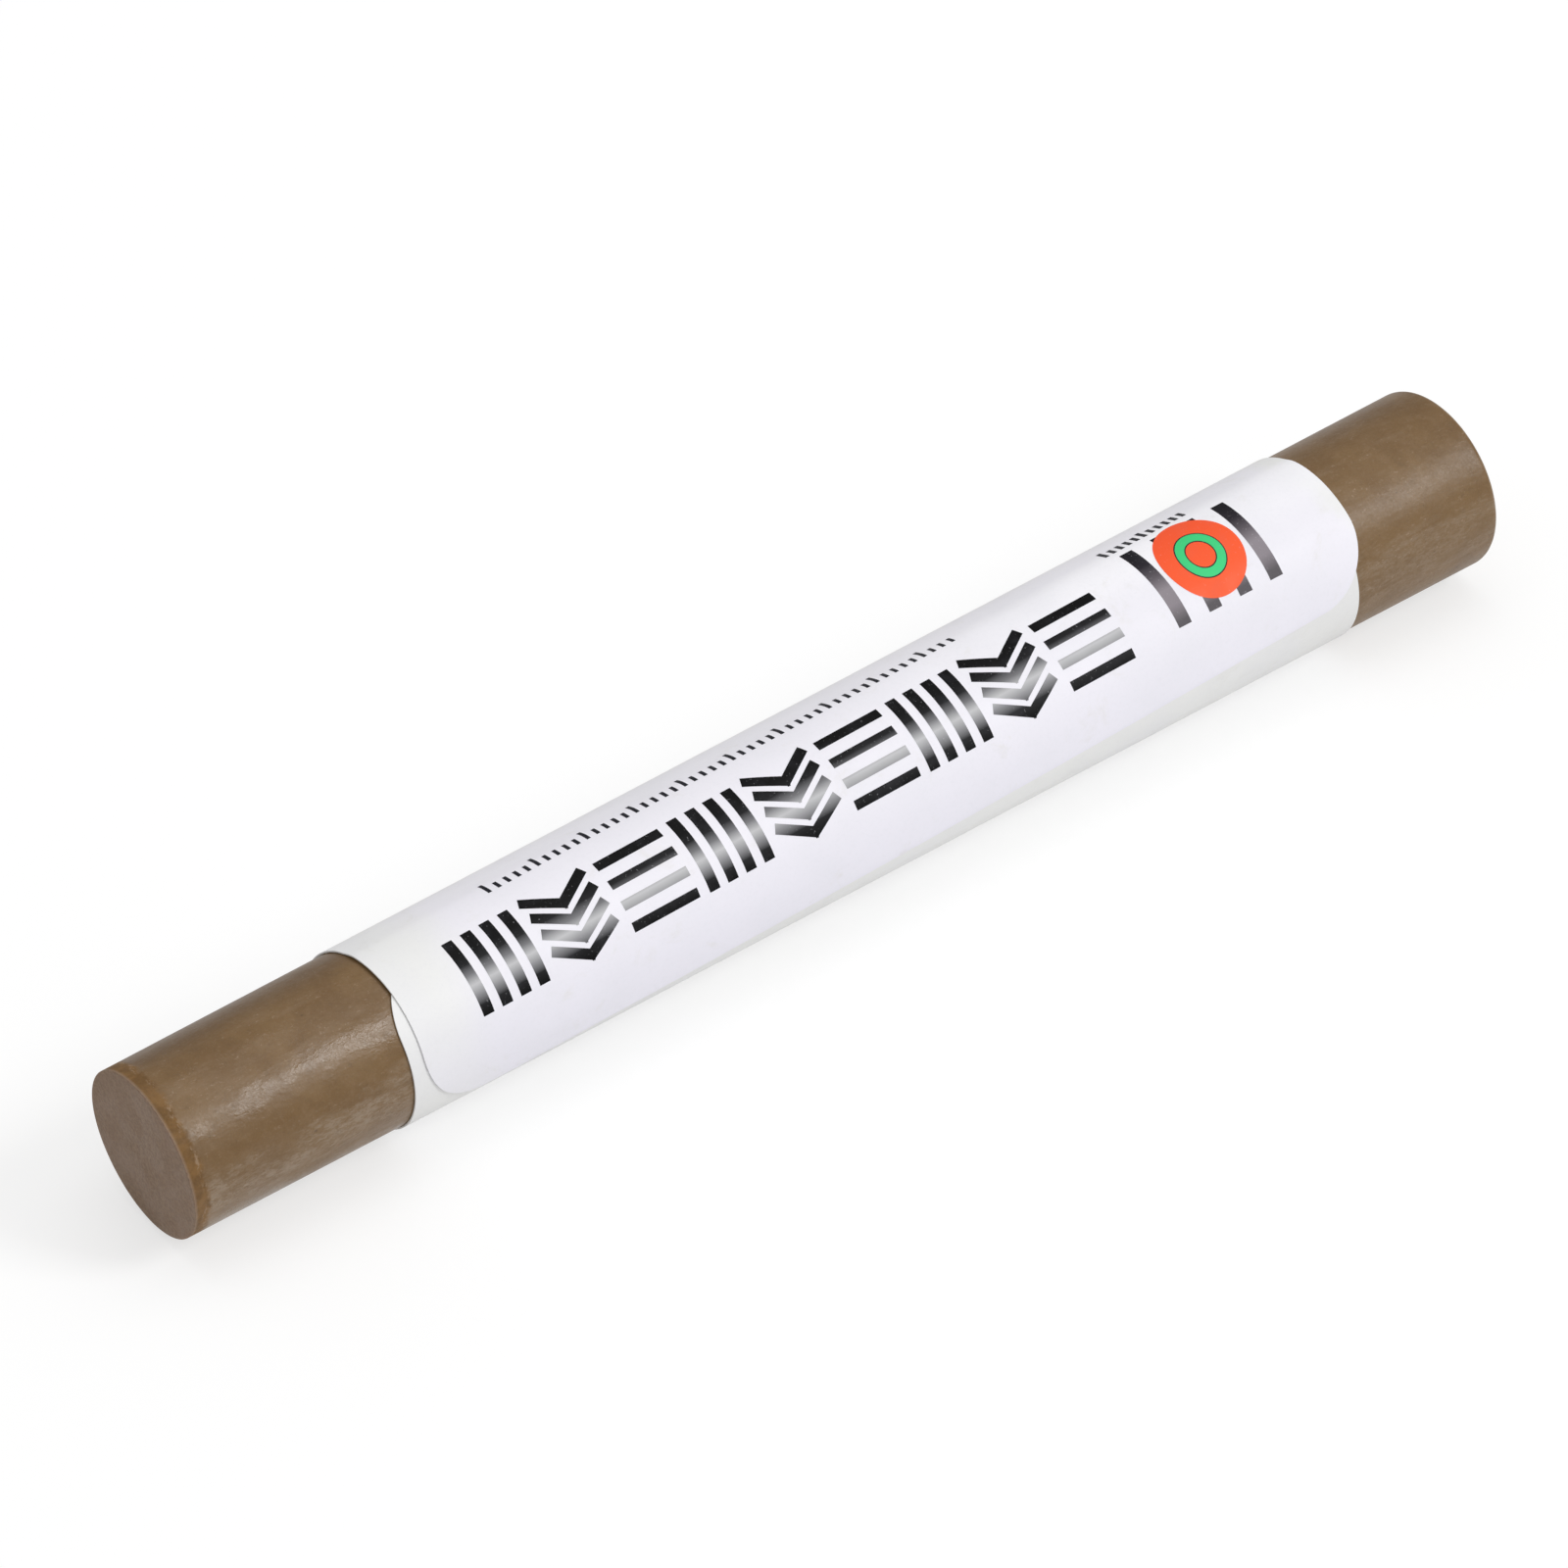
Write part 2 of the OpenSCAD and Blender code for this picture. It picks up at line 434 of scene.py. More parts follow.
swells = noise(tree, place_mm(tree, (0.6, 1, 1), (3, 0, 5)), 0.45, 3.0, 0.6)
wrinkles = noise(tree, place_mm(tree, (0.7, 1, 1), (11, 4, 2)), 3.4, 1.5, 0.5, 0.6)
wrinkles = product_of(tree, wrinkles, add_range(tree, gloss, 0.0, 1.0, 0.25, 1.0))
glints = noise(tree, place_mm(tree, (0.7, 1, 1), (1, 5, 8)), 8.0, 1.0, 0.5)
glints = product_of(tree, glints, add_range(tree, gloss, 0.0, 1.0, 0.3, 1.0))
bump = add_bump(tree, swells, 0.07 * MM)
for pattern, depth in ((mottle, 0.014), (wrinkles, 0.02), (glints, 0.0095), (streaky_grain, 0.005)):
    bump = add_bump(tree, pattern, depth * MM, 1.0, bump)
bump = add_bump(tree, rim_share, 0.03 * MM, -0.6, bump)
tree.links.new(bump, shader.inputs["Normal"])
print("wax finish has %d nodes" % len(tree.nodes))

# %% [markdown]
# ## The cast stick
# The stick is a turned shape: one half section, swept round the axis. The Screw modifier does that from a
# chain of edges, so the section is worked out point by point: across the end face, round the soft rim,
# along the tapered side, and back over the far rim. Rows lie close where the wax is bare and far apart
# where the label hides it. The near end was cut, so its rim is nearly sharp.

# %% Half section of the stick
near_rim = 0.07 * MM
far_rim = 0.42 * MM
round_steps = 256
face_rows = 20
bare_rows = 70
hidden_rows = 30
fine_margin = 2 * MM


def evenly(first, last, count):
    return [first + (last - first) * i / count for i in range(count)]


def rim_arc(centre_x, centre_r, radius, first, last, count):
    angles = evenly(math.radians(first), math.radians(last), count)
    return [(centre_x - radius * math.cos(a), centre_r + radius * math.sin(a)) for a in angles]


near_centre = wax_radius(near_rim) - near_rim
far_centre = wax_radius(stick_length - far_rim) - far_rim
hidden_from = bare_near + fine_margin
hidden_to = stick_length - bare_far - fine_margin
section = [(0.0, r) for r in evenly(0.0, near_centre, face_rows)]
section += rim_arc(near_rim, near_centre, near_rim, 0, 90, 4)
side = evenly(near_rim, fine_margin, 18)
side += evenly(fine_margin, hidden_from, bare_rows)
side += evenly(hidden_from, hidden_to, hidden_rows)
side += evenly(hidden_to, stick_length - far_rim, bare_rows)
section += [(x, wax_radius(x)) for x in side]
section += rim_arc(stick_length - far_rim, far_centre, far_rim, 90, 180, 10)
section += [(stick_length, r) for r in evenly(far_centre, 0.0, face_rows)]
section += [(stick_length, 0.0)]
print("half section: %d points" % len(section))

# %% [markdown]
# The points become a chain of edges at the near end's place. The modifier turns the chain once round the
# X axis in small steps, and merges the last step with the first.

# %% Turn the section into a stick
chain = bpy.data.meshes.new("wax_section")
edges = [(i, i + 1) for i in range(len(section) - 1)]
chain.from_pydata([(x + near_face_x, 0, r) for x, r in section], edges, [])
wax = new_object("wax_body", chain)
screw = wax.modifiers.new("turn", "SCREW")
screw.axis = "X"
screw.steps = screw.render_steps = round_steps
screw.use_merge_vertices = True
screw.merge_threshold = 0.001 * MM
screw.use_normal_calculate = True
make_plain(wax)

# %% [markdown]
# A turned shape is too perfect. Real wax shrinks as it sets, which leaves shallow waves in its skin, and
# the near end was cut at a lean. A small Geometry Nodes tree notes how far each point is from the nearer
# end, pushes the skin inwards by noise, leans the rows near the cut, and lifts the stick to its axis
# height. It only pushes inwards, so the stick never grows past its CAD size.

# %% Shrinkage of the cast skin and the leaning cut
cast_skin, given, made = geometry_tree(
    "cast_skin",
    {
        "Wave depth": 0.01 * MM,
        "Ripple depth": 0.008 * MM,
        "Axis height": axis_height,
        "Near face x": near_face_x,
        "Length": stick_length,
        "Lean": math.tan(near_lean),
        "Lean reach": 12.0 * MM,
    },
    True,
)


def skin_math(operation, *values):
    return add_math(cast_skin, operation, *values)


position = add_node(cast_skin, "GeometryNodeInputPosition").outputs[0]
normal = add_node(cast_skin, "GeometryNodeInputNormal").outputs[0]
place = parts_of(cast_skin, position)
from_near = skin_math("SUBTRACT", place[0], given["Near face x"])
nearer = skin_math("MINIMUM", from_near, skin_math("SUBTRACT", given["Length"], from_near))
noted = add_node(
    cast_skin,
    "GeometryNodeStoreNamedAttribute",
    {"Geometry": given["Geometry"], "Name": "from_end", "Value": skin_math("MULTIPLY", nearer, 1 / MM)},
)
in_mm = in_millimetres(cast_skin, position)
waves = add_node(cast_skin, "ShaderNodeTexNoise", {"Vector": in_mm, "Scale": 0.16, "Detail": 2.0})
ripples = add_node(cast_skin, "ShaderNodeTexNoise", {"Vector": in_mm, "Scale": 1.1, "Detail": 4.0})
depth = sum_of(
    cast_skin,
    skin_math("MULTIPLY", waves.outputs[0], given["Wave depth"]),
    skin_math("MULTIPLY", ripples.outputs[0], given["Ripple depth"]),
)
push = {0: normal, "Scale": skin_math("MULTIPLY", depth, -1.0)}
inwards = add_node(cast_skin, "ShaderNodeVectorMath", push, operation="SCALE")
outward_part = skin_math(
    "SUBTRACT",
    skin_math("MULTIPLY", place[2], math.cos(near_lean_roll)),
    skin_math("MULTIPLY", place[1], math.sin(near_lean_roll)),
)
lean_share = add_range(cast_skin, from_near, 0.0, given["Lean reach"], given["Lean"], 0.0)
shift_x = product_of(cast_skin, outward_part, lean_share, -1.0)
shifted = vector_of(cast_skin, x=shift_x, z=given["Axis height"])
pushes = {0: inwards.outputs[0], 1: shifted}
offset = add_node(cast_skin, "ShaderNodeVectorMath", pushes, operation="ADD")
moves = {"Geometry": noted.outputs[0], "Offset": offset.outputs[0]}
moved = add_node(cast_skin, "GeometryNodeSetPosition", moves)
smooth = add_node(cast_skin, "GeometryNodeSetShadeSmooth", {"Geometry": moved.outputs[0]})
end_tree(cast_skin, smooth.outputs[0], given, made)
print("skin tree has %d nodes" % len(cast_skin.nodes))

# %% [markdown]
# The swept mesh still has doubled points at its two poles. They are merged, so that the solid is closed,
# and its faces are turned outwards before the tree runs on it.

# %% Close the stick and give it its skin
body = bmesh.new()
body.from_mesh(wax.data)
bmesh.ops.remove_doubles(body, verts=body.verts, dist=0.002 * MM)
bmesh.ops.recalc_face_normals(body, faces=body.faces)
body.to_mesh(wax.data)
body.free()
add_tree(wax, cast_skin, finish=wax_finish)
make_plain(wax)

# %% [markdown]
# ## Winding the label
# Paper on a stick is a flat sheet that was rolled up. So everything on the label is first made flat, where
# X runs along the stick, Y round it and Z out of it, and one Geometry Nodes tree rolls it all. The tree
# knows the stick's taper, how far the sheet creeps in a turn, and the slope where it climbs on to its own
# start, so paper and print always lie together. The flat place is stored on the points before rolling, as
# an attribute in millimetres, because the finishes need to follow the sheet.

# %% Tree that rolls a flat piece round the stick
facet_step = math.radians(9)
climb_end = turn - facet_step * middle_radius
wind, given, made = geometry_tree(
    "wind_round_stick",
    {
        "Near radius": near_radius,
        "Taper": taper,
        "Label middle": bare_near + label_half,
        "Middle radius": middle_radius,
        "Creep share": label_creep / turn,
        "Axis height": axis_height,
        "Near face x": near_face_x,
        "Layer": layer,
        "Climb start": climb_end - climb_width,
        "Climb end": climb_end,
        "Free edge": free_u,
        "Free lean": free_slant / label_width,
        "Edge lift": 0.07 * MM,
        "Edge width": 1.2 * MM,
        "Corner lift": 0.2 * MM,
        "Corner width": 3.0 * MM,
        "Corner from": label_half - 7 * MM,
        "Corner to": label_half - 1 * MM,
        "Relief": 0.015 * MM,
    },
    True,
)


def wind_math(operation, *values):
    return add_math(wind, operation, *values)


position = add_node(wind, "GeometryNodeInputPosition").outputs[0]
flat = parts_of(wind, position)
noted = add_node(
    wind,
    "GeometryNodeStoreNamedAttribute",
    {"Geometry": given["Geometry"], "Name": "flat_place", "Value": in_millimetres(wind, position)},
    data_type="FLOAT_VECTOR",
)
crept = wind_math("MULTIPLY", flat[1], given["Creep share"])
x = sum_of(wind, given["Label middle"], flat[0], crept)
roll = wind_math("DIVIDE", flat[1], given["Middle radius"])
wax_r = wind_math("MULTIPLY_ADD", x, given["Taper"], given["Near radius"])
climb = add_range(wind, flat[1], given["Climb start"], given["Climb end"], 0.0, given["Layer"])
side_way = wind_math("SINE", roll)
up_way = wind_math("COSINE", roll)
print("start of the winding tree: %d nodes" % len(wind.nodes))

# %% [markdown]
# Wound paper is never perfectly tight. It follows small bumps in the wax, which a noise gives, read on the
# round so that both turns rise over the same bump. Along the free edge the paper has lifted by less than
# a tenth of a millimetre, and at the edge's far corner by about a quarter.

# %% Bumps and the lifted free edge
round_place = vector_of(
    wind,
    wind_math("MULTIPLY", x, 0.35),
    wind_math("MULTIPLY", side_way, wax_r),
    wind_math("MULTIPLY", up_way, wax_r),
)
round_mm = in_millimetres(wind, round_place)
uneven = add_node(wind, "ShaderNodeTexNoise", {"Vector": round_mm, "Scale": 0.3, "Detail": 2.5})
relief = add_range(wind, uneven.outputs[0], 0.3, 0.75, 0.0, given["Relief"])

to_tip = wind_math("SUBTRACT", given["Free edge"], flat[1])
from_free = wind_math("SUBTRACT", to_tip, wind_math("MULTIPLY", flat[0], given["Free lean"]))
lifted = add_range(wind, from_free, given["Edge width"], 0.0, 0.0, given["Edge lift"])
corner_lift = given["Corner lift"]
far_corner = add_range(wind, flat[0], given["Corner from"], given["Corner to"], 0.0, corner_lift)
corner_lifted = add_range(wind, from_free, given["Corner width"], 0.0, 0.0, far_corner)
radius = sum_of(wind, wax_r, flat[2], climb, relief, lifted, corner_lifted)
print("with bumps and lift: %d nodes" % len(wind.nodes))

# %% [markdown]
# With the distance from the axis known, the rolled place is the flat one with its round part turned into
# a sine and a cosine. That turns the sheet inside out, so the faces are flipped at the end. The helper
# winds one flat piece on the stick and makes it a plain mesh.

# %% Rolled place
rolled = vector_of(
    wind,
    wind_math("ADD", x, given["Near face x"]),
    product_of(wind, radius, side_way, -1.0),
    wind_math("MULTIPLY_ADD", radius, up_way, given["Axis height"]),
)
moves = {"Geometry": noted.outputs[0], "Position": rolled}
moved = add_node(wind, "GeometryNodeSetPosition", moves)
outwards = add_node(wind, "GeometryNodeFlipFaces", {"Mesh": moved.outputs[0]})
end_tree(wind, outwards.outputs[0], given, made)


def wind_on(piece, finish):
    add_tree(piece, wind, finish=finish)
    return make_plain(piece)


print("winding tree has %d nodes" % len(wind.nodes))

# %% [markdown]
# ## The label's outline
# The cut sheet is a long rectangle with round corners, and both of its ends are a little slanted. Going
# round the stick, each column of the sheet starts and stops at a place that one rule gives: the side of
# the sheet, the slanted end, or the arc that joins them.


# %% Outline of the flat label
def lean(slant):
    return slant / label_width


def corner_v(slant, side_sign):
    from_middle = side_sign * (label_half - corner_radius)
    return lean(slant) * from_middle + corner_radius * math.hypot(1, lean(slant))


def arc_reach(distance):
    return math.sqrt(max(0.0, corner_radius**2 - distance**2))


def high_side(v, slant):
    touch = corner_radius / math.hypot(1, lean(slant))
    if v > corner_v(slant, 1):
        return label_half
    if v > corner_v(slant, 1) - touch:
        return label_half - corner_radius + arc_reach(corner_v(slant, 1) - v)
    if v > corner_v(slant, -1) - touch:
        return v / lean(slant)
    return corner_radius - label_half + arc_reach(corner_v(slant, -1) - v)


def low_side(v, slant):
    if v > corner_v(slant, -1):
        return -label_half
    return corner_radius - label_half - arc_reach(corner_v(slant, -1) - v)


def label_span(u):
    low = max(low_side(free_u - u, free_slant), -high_side(u, start_slant))
    high = min(high_side(free_u - u, free_slant), -low_side(u, start_slant))
    return low, high


middle_span = [round(value / MM, 2) for value in label_span(turn / 2)]
print("halfway round, the sheet reaches from and to, in mm:", middle_span)

# %% [markdown]
# A slab helper turns any rule for a flat place into a thin closed sheet: a grid of points above, the same
# below, and a narrow wall all round. The label, the printed disc, its ring and the bars all use it.


# %% Helper for thin flat slabs
def flat_slab(name, place_of, count_a, count_b, low, high, ring=False):
    body = bmesh.new()
    rows_a = count_a if ring else count_a + 1
    grids = []
    for height in (low, high):
        grid = []
        for i in range(rows_a):
            row = []
            for j in range(count_b + 1):
                along_x, round_u = place_of(i / count_a, j / count_b)
                row.append(body.verts.new((along_x, round_u, height)))
            grid.append(row)
        grids.append(grid)
    under, over = grids
    for i in range(count_a):
        k = (i + 1) % rows_a
        for j in range(count_b):
            body.faces.new((over[i][j], over[k][j], over[k][j + 1], over[i][j + 1]))
            body.faces.new((under[i][j], under[i][j + 1], under[k][j + 1], under[k][j]))
        for j, sign in ((0, 1), (count_b, -1)):
            wall = (under[i][j], under[k][j], over[k][j], over[i][j])
            body.faces.new(wall[::sign])
    if not ring:
        for j in range(count_b):
            for i, sign in ((0, -1), (count_a, 1)):
                wall = (under[i][j], under[i][j + 1], over[i][j + 1], over[i][j])
                body.faces.new(wall[::sign])
    bmesh.ops.recalc_face_normals(body, faces=body.faces)
    mesh = bpy.data.meshes.new(name)
    body.to_mesh(mesh)
    body.free()
    return new_object(name, mesh)


# %% [markdown]
# ## The paper's finish
# The label is coated paper: nearly white, smooth and a little glossy, with a faint lavender cast where
# it was printed and a neutral white at its two unprinted sides. Towards the free edge the outer turn is
# painted a paler lavender, as painted light on the lifted flap, and a painted highlight makes the paper
# whitest in a strip along the top of its far half. Handling leaves weak smudges. The pattern follows the
# sheet, so it reads the flat place that the winding tree stored.

# %% Paper material
paper_finish, tree, shader = new_finish("coated_white_paper")
sheet, sheet_x, sheet_u = sheet_place(tree)
drift = noise(tree, sheet, 0.12, 3.0, 0.5)
smudge = noise(tree, sheet, 0.35, 6.0, 0.7, 0.6)
fibre = noise(tree, sheet, 5.0, 3.0, 0.6)
wander = add_math(tree, "MULTIPLY_ADD", drift, 6.0, sheet_x)
half_mm = label_half / MM
turn_mm = turn / MM
closing_in = add_range(tree, sheet_u, turn_mm - 2.0, turn_mm + 7.0, 0.0, 1.8)
far_wander = add_math(tree, "SUBTRACT", add_math(tree, "MULTIPLY_ADD", smudge, 2.0, wander), closing_in)
printed = product_of(
    tree,
    add_range(tree, wander, 5.0 - half_mm, 9.0 - half_mm),
    add_range(tree, far_wander, half_mm + 2.9, half_mm + 1.5),
    add_range(tree, sheet_u, turn_mm - label_lap / MM, turn_mm),
)
colour = blend_colour(tree, printed, srgb("#ececeb"), srgb("#eeecf3"))
# Painted highlight: the paper is made whiter in a strip along the top of its far half.
painted_light_strip = product_of(
    tree,
    add_range(tree, sheet_u, turn_mm - 2.2, turn_mm - 1.2, 0.0, 0.85),
    add_range(tree, sheet_u, turn_mm + 3.0, turn_mm),
    add_range(tree, sheet_x, -5.0, 20.0),
)
colour = blend_colour(tree, painted_light_strip, colour, srgb("#faf9fd"))
# Painted light: the outer turn is made paler towards the free edge, where the lifted flap catches the
# light.
colour = lay_over(tree, colour, sheet_u, turn_mm + 3.0, turn_mm + 9.0, 0.5, "#f2f0fb")
colour = lay_over(tree, colour, drift, 0.4, 0.7, 0.3, "#e4e4ea")
colour = lay_over(tree, colour, smudge, 0.56, 0.78, 0.35, "#d8d5cc")
colour = lay_over(tree, colour, fibre, 0.45, 0.75, 0.12, "#d9d9e0")
tree.links.new(colour, shader.inputs["Base Color"])
tree.links.new(add_range(tree, smudge, 0.35, 0.7, 0.48, 0.6), shader.inputs["Roughness"])
shader.inputs["Specular IOR Level"].default_value = 0.35
bump = add_bump(tree, noise(tree, sheet, 0.7, 3.0, 0.5), 0.02 * MM, 0.35)
bump = add_bump(tree, fibre, 0.004 * MM, 0.5, bump)
tree.links.new(bump, shader.inputs["Normal"])
print("paper finish has %d nodes" % len(tree.nodes))

# %% [markdown]
# ## The wound label
# The columns of the sheet are about a fifth of a millimetre apart, which keeps the roll smooth and lets
# the paper follow small bumps. The paper reaches a hair past its adhesive, as a cut label does.

# %% Wind the label round the stick
sheet_columns = 250
sheet_rows = 150
cut_overhang = 0.03 * MM
tip_cut = 0.05 * MM
first_u = corner_v(start_slant, -1) - corner_radius + tip_cut
last_u = free_u - corner_v(free_slant, -1) + corner_radius - tip_cut


def label_place(a, b):
    u = first_u + (last_u - first_u) * a
    low, high = label_span(u)
    return low - cut_overhang + (high - low + 2 * cut_overhang) * b, u


sheet_size = (sheet_columns, sheet_rows, paper_bottom, paper_top)
label = wind_on(flat_slab("wound_label", label_place, *sheet_size), paper_finish)
label.data.shade_smooth()
label.data.set_sharp_from_angle(angle=math.radians(40))

# %% [markdown]
# ## Ink
# Print is a film a few thousandths of a millimetre thick. Making it as thin slabs on the paper keeps its
# edges sharp at any zoom. The large row is shaded like a steel bar, from black at its top through a pale
# grey to black at its foot, and the bars behind the spot fade to a mauve grey. The flat place drives the
# shading, and a fine noise mixes in the paper's colour, for the tiny specks where the ink wore off.

# %% Ink materials
row_turn = math.radians(-0.95)
print_u = turn + 1.35 * MM
print_length = 4.75 * MM
ink_film = 0.004 * MM
first_ink = paper_top + 0.003 * MM


def ink_finish(name, colours, from_u, to_u, wear=0.25):
    material, tree, shader = new_finish(name)
    sheet, sheet_x, sheet_u = sheet_place(tree)
    down = add_math(tree, "MULTIPLY_ADD", sheet_x, -math.tan(row_turn), sheet_u)
    limits = {"Value": down, "From Min": from_u / MM, "From Max": to_u / MM}
    share = add_node(tree, "ShaderNodeMapRange", limits).outputs[0]
    shade = add_node(tree, "ShaderNodeValToRGB", {0: share})
    ramp = shade.color_ramp
    ramp.elements[0].color = srgb(colours[0])
    ramp.elements[1].color = srgb(colours[-1])
    for index, code in enumerate(colours[1:-1], 1):
        ramp.elements.new(index / (len(colours) - 1)).color = srgb(code)
    specks = noise(tree, sheet, 6.0, 4.0, 0.7)
    colour = lay_over(tree, shade.outputs[0], specks, 0.62, 0.72, wear, "#d8d8dc")
    film = noise(tree, sheet, 0.8, 3.0)
    colour = lay_over(tree, colour, film, 0.45, 0.8, 0.06, "#80808a")
    tree.links.new(colour, shader.inputs["Base Color"])
    tree.links.new(add_range(tree, film, 0.3, 0.7, 0.35, 0.5), shader.inputs["Roughness"])
    shader.inputs["Specular IOR Level"].default_value = 0.1
    return material


steel_shades = ["#080809", "#0c0c0d", "#1f1f21", "#77777a", "#c2c2c4"]
steel_shades += ["#8c8c8f", "#1f1f21", "#0c0c0d", "#080809"]
steel_ink = ink_finish("steel_shaded_ink", steel_shades, print_u, print_u + print_length)
mauve_shades = ["#100e14", "#17151b", "#2a262d", "#5f595f", "#918a90", "#8c858b", "#5b575b"]
bar_low = turn - 0.75 * MM
bar_high = turn + 4.9 * MM
mauve_ink = ink_finish("mauve_grey_ink", mauve_shades, bar_low, bar_high, wear=0.4)
fine_ink = ink_finish("fine_black_ink", ["#1a1a22", "#26262c"], print_u - 3 * MM, print_u)
spot_range = (print_u - 2 * MM, print_u + 3 * MM)
spot_ink = ink_finish("orange_red_ink", ["#f75a33", "#f9633a"], *spot_range, wear=0.15)
ring_ink = ink_finish("leaf_green_ink", ["#3fc97a", "#48d588"], *spot_range, wear=0.15)
for ink in (steel_ink, mauve_ink, fine_ink, spot_ink, ring_ink):
    print("%s: %d nodes" % (ink.name, len(ink.node_tree.nodes)))

# %% [markdown]
# ## The large printed row
# The boldest print is a row of parquet tiles: upright staves, chevrons and cross staves in turn, which
# suits a stick that mends wooden floors and furniture. A tree repeats each motif at the row's pitch. Its
# helpers make a stave, lay a run of it by putting it on the points of a line, and join runs. A printed
# place is given by its distance from the near end face, and the sheet's own X follows from that.


# %% Tree for the parquet tiles
def sheet_x_at(from_near_face):
    return from_near_face - bare_near - label_half - label_creep


tile_pitch = 5.45 * MM
tiles, given, made = geometry_tree(
    "parquet_row",
    {
        "Pitch": tile_pitch,
        "Stave wide": 0.74 * MM,
        "Stave long": print_length,
        "Stave step": 1.34 * MM,
        "Ink height": first_ink + ink_film / 2,
        "Ink film": ink_film,
        "Row start x": sheet_x_at(19.9 * MM),
        "Row start u": print_u,
        "Row turn": row_turn,
    },
)


def tile_math(operation, *values):
    return add_math(tiles, operation, *values)


def tile_vector(x=0.0, y=0.0, z=0.0):
    return vector_of(tiles, x, y, z)


def slab_of(wide, long, across, lengthways):
    size = tile_vector(wide, long, given["Ink film"])
    sockets = {"Size": size, "Vertices X": across, "Vertices Y": lengthways, "Vertices Z": 2}
    return add_node(tiles, "GeometryNodeMeshCube", sockets).outputs["Mesh"]


def run_of(piece, count, start, step, turned=(0.0, 0.0, 0.0)):
    sockets = {"Count": count, "Start Location": start, "Offset": step}
    line = add_node(tiles, "GeometryNodeMeshLine", sockets).outputs[0]
    sockets = {"Points": line, "Instance": piece, "Rotation": turned}
    placed = add_node(tiles, "GeometryNodeInstanceOnPoints", sockets).outputs[0]
    return add_node(tiles, "GeometryNodeRealizeInstances", {"Geometry": placed}).outputs[0]


def join(*pieces):
    made_node = add_node(tiles, "GeometryNodeJoinGeometry")
    for piece in reversed(pieces):
        tiles.links.new(piece, made_node.inputs[0])
    return made_node.outputs[0]


print("tiles stand %.2f mm apart" % (tile_pitch / MM))

# %% [markdown]
# Each motif lays one thing four times. Upright staves stand side by side, cross staves are a little
# narrower and turned by a quarter, and a chevron is a pair of short arms that lean to meet each other.
# Every stave is a finely divided slab, so that it can bend round the stick.

# %% Three motifs of four staves
staves = 4
wide = given["Stave wide"]
tile_long = given["Stave long"]
step = given["Stave step"]
half_run = tile_math("MULTIPLY", step, (staves - 1) / 2)
back_step = tile_math("MULTIPLY", half_run, -1.0)
stave = slab_of(wide, tile_long, 3, 24)
upright = run_of(stave, staves, tile_vector(back_step), tile_vector(step))

plank_share = 0.8
plank = slab_of(tile_math("MULTIPLY", wide, plank_share), tile_long, 5, 9)
quarter_turn = (0.0, 0.0, math.radians(90))
crosswise = run_of(plank, staves, tile_vector(0.0, back_step), tile_vector(0.0, step), quarter_turn)

arm_wide = tile_math("MULTIPLY", wide, 0.85)
arm_long = tile_math("MULTIPLY", tile_long, 0.6)
arm = slab_of(arm_wide, arm_long, 4, 12)
arm_x = tile_math("MULTIPLY", tile_long, 0.22)
arm_turn = math.radians(62)
arm_step_share = 0.82
arm_start = tile_math("MULTIPLY", half_run, -arm_step_share)
arm_step = tile_vector(0.0, tile_math("MULTIPLY", step, arm_step_share))
left_start = tile_vector(tile_math("MULTIPLY", arm_x, -1.0), arm_start)
left_arms = run_of(arm, staves, left_start, arm_step, (0.0, 0.0, -arm_turn))
right_arms = run_of(arm, staves, tile_vector(arm_x, arm_start), arm_step, (0.0, 0.0, arm_turn))
print("three motifs: %d nodes" % len(tiles.nodes))

# %% [markdown]
# The three motifs stand side by side, and each is laid three times at three pitches. The row is then moved
# and turned to its place on the flat sheet, and the winding tree rolls it with the rest.

# %% Lay the row and wind it
repeats = 3
pitch = given["Pitch"]
triple = tile_vector(tile_math("MULTIPLY", pitch, repeats))
half_long = tile_math("MULTIPLY", tile_long, 0.5)
first_x = tile_math("MULTIPLY", pitch, 0.45)
second_x = tile_math("ADD", first_x, pitch)
third_x = tile_math("ADD", second_x, pitch)
row = join(
    run_of(upright, repeats, tile_vector(first_x, half_long), triple),
    run_of(join(left_arms, right_arms), repeats, tile_vector(second_x, half_long), triple),
    run_of(crosswise, repeats, tile_vector(third_x, half_long), triple),
)
placed = add_node(
    tiles,
    "GeometryNodeTransform",
    {
        "Geometry": row,
        "Translation": tile_vector(given["Row start x"], given["Row start u"], given["Ink height"]),
        "Rotation": tile_vector(0.0, 0.0, given["Row turn"]),
    },
)
joined = add_node(tiles, "GeometryNodeRealizeInstances", {"Geometry": placed.outputs[0]})
tiles.links.new(joined.outputs[0], made["Geometry"])

printed_row = new_object("printed_parquet_row", bpy.data.meshes.new("printed_parquet_row"))
add_tree(printed_row, tiles)
wind_on(printed_row, steel_ink)

# %% [markdown]
# ## Small printed rows
# Above the tiles runs a thin ruler of ticks, with every fifth tick a longer one. A shorter ruler stands
# beside the printed spot. Both are runs of one small bar, laid at two pitches.

# %% Tree that lays a row of ticks
ticks, given, made = geometry_tree(
    "tick_row",
    {
        "Length": 36.0 * MM,
        "Pitch": 0.72 * MM,
        "Tick wide": 0.26 * MM,
        "Tick long": 0.6 * MM,
        "Long tick": 1.0 * MM,
        "Ink height": first_ink + ink_film / 2,
        "Ink film": ink_film,
        "Start x": 0.0,
        "Start u": 0.0,
        "Row turn": row_turn,
    },
)


def tick_vector(x=0.0, y=0.0, z=0.0):
    return vector_of(ticks, x, y, z)


